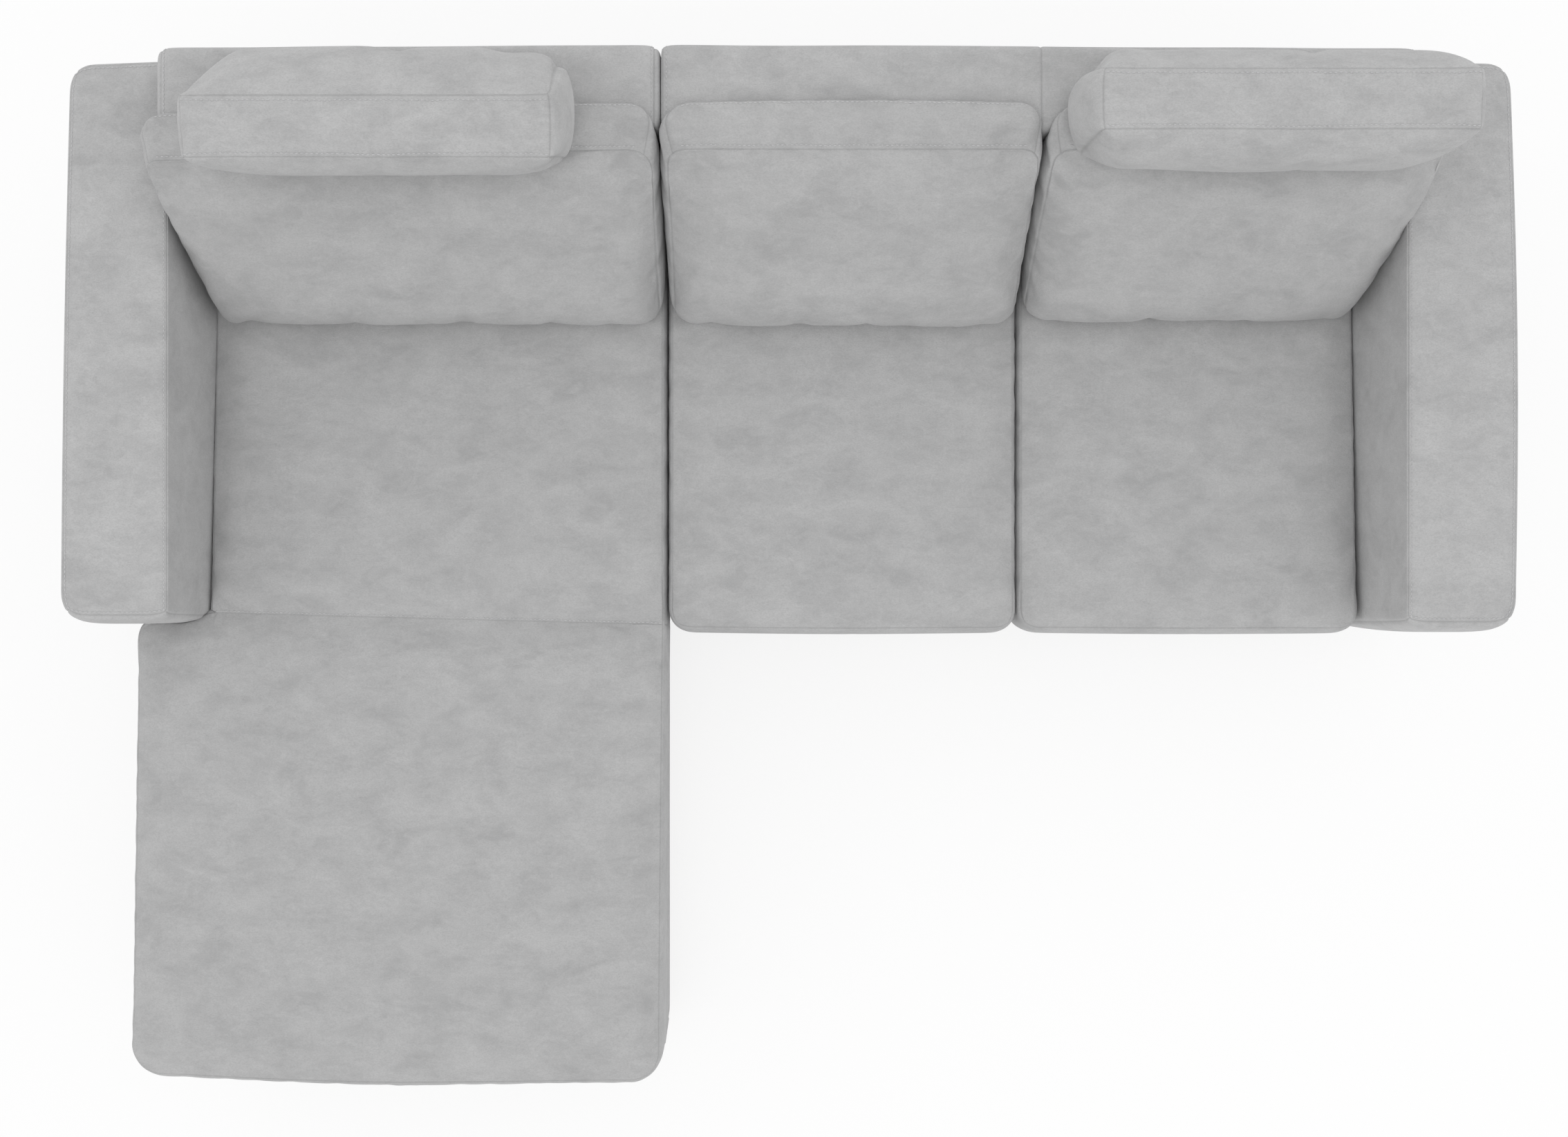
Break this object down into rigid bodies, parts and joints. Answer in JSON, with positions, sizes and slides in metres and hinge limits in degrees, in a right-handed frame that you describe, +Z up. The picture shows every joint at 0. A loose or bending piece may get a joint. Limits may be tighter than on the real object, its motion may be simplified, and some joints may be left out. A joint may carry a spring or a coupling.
{
  "type": "sectional sofa with chaise",
  "caption": "Upholstered sectional sofa: a chaise module and a two-seat module hooked side by side, with padded arms, loose seat and back cushions and boxed head cushions.",
  "frame": {"origin": "on the floor under the middle of the sofa's box", "axes": "+X along the sofa to the right arm as seen from the front, +Y to the backs, +Z up; the front faces -Y"},
  "size_m": [2.6, 1.892, 1.0315],
  "materials": {
    "upholstery": "matte brushed suede-like fabric",
    "timber": "plain sawn softwood",
    "webbing": "woven belts",
    "lining": "non-woven lining",
    "foot_plastic": "moulded, matte",
    "steel": "zinc plated"
  },
  "bodies": {
    "sofa_base": {"chaise_front_border": "upholstery", "chaise_foot_side_border": "upholstery", "chaise_foot_rear_border": "upholstery", "chaise_right_border": "upholstery", "seat_front_border": "upholstery", "seat_left_border": "upholstery", "left_arm_cover": "upholstery", "right_arm_cover": "upholstery", "chaise_back_cover": "upholstery", "seat_back_cover": "upholstery", "chaise_front_rail": "timber", "chaise_foot_side_rail": "timber", "chaise_cross_rail": "timber", "chaise_left_rail": "timber", "chaise_right_rail": "timber", "chaise_rear_rail": "timber", "seat_front_rail": "timber", "seat_left_rail": "timber", "seat_centre_rail": "timber", "seat_right_rail": "timber", "seat_rear_rail": "timber", "left_arm_frame": "timber", "right_arm_frame": "timber", "chaise_back_frame": "timber", "seat_back_frame": "timber", "chaise_front_webbing": "webbing", "chaise_rear_webbing": "webbing", "middle_seat_webbing": "webbing", "right_seat_webbing": "webbing", "chaise_deck": "lining", "chaise_dust_cover": "lining", "seat_deck": "lining", "seat_dust_cover": "lining", "chaise_front_left_foot": "foot_plastic", "chaise_front_right_foot": "foot_plastic", "chaise_middle_left_foot": "foot_plastic", "chaise_rear_left_foot": "foot_plastic", "chaise_rear_right_foot": "foot_plastic", "seat_front_left_foot": "foot_plastic", "seat_front_right_foot": "foot_plastic", "seat_rear_left_foot": "foot_plastic", "seat_rear_right_foot": "foot_plastic", "left_arm_front_bolt": "steel", "left_arm_rear_bolt": "steel", "right_arm_front_bolt": "steel", "right_arm_rear_bolt": "steel", "front_connector_lip": "steel", "front_connector_hook": "steel", "rear_connector_lip": "steel", "rear_connector_hook": "steel"},
    "chaise_seat_cushion": {"chaise_seat_cushion": "upholstery"},
    "middle_seat_cushion": {"middle_seat_cushion": "upholstery"},
    "right_seat_cushion": {"right_seat_cushion": "upholstery"},
    "left_back_cushion": {"left_back_cushion": "upholstery"},
    "middle_back_cushion": {"middle_back_cushion": "upholstery"},
    "right_back_cushion": {"right_back_cushion": "upholstery"},
    "left_head_cushion": {"left_head_cushion": "upholstery"},
    "right_head_cushion": {"right_head_cushion": "upholstery"}
  },
  "joints": [
    {"name": "lift_chaise_seat_cushion", "type": "slide", "parent": "sofa_base", "child": "chaise_seat_cushion", "axis": [0, 0, 1], "range_m": [0, 0.4]},
    {"name": "lift_middle_seat_cushion", "type": "slide", "parent": "sofa_base", "child": "middle_seat_cushion", "axis": [0, 0, 1], "range_m": [0, 0.4]},
    {"name": "lift_right_seat_cushion", "type": "slide", "parent": "sofa_base", "child": "right_seat_cushion", "axis": [0, 0, 1], "range_m": [0, 0.4]},
    {"name": "lift_left_back_cushion", "type": "slide", "parent": "chaise_seat_cushion", "child": "left_back_cushion", "axis": [0, 0, 1], "range_m": [0, 0.35]},
    {"name": "lift_middle_back_cushion", "type": "slide", "parent": "middle_seat_cushion", "child": "middle_back_cushion", "axis": [0, 0, 1], "range_m": [0, 0.35]},
    {"name": "lift_right_back_cushion", "type": "slide", "parent": "right_seat_cushion", "child": "right_back_cushion", "axis": [0, 0, 1], "range_m": [0, 0.35]},
    {"name": "lift_left_head_cushion", "type": "slide", "parent": "left_back_cushion", "child": "left_head_cushion", "axis": [0, 0, 1], "range_m": [0, 0.15]},
    {"name": "lift_right_head_cushion", "type": "slide", "parent": "right_back_cushion", "child": "right_head_cushion", "axis": [0, 0, 1], "range_m": [0, 0.15]}
  ]
}
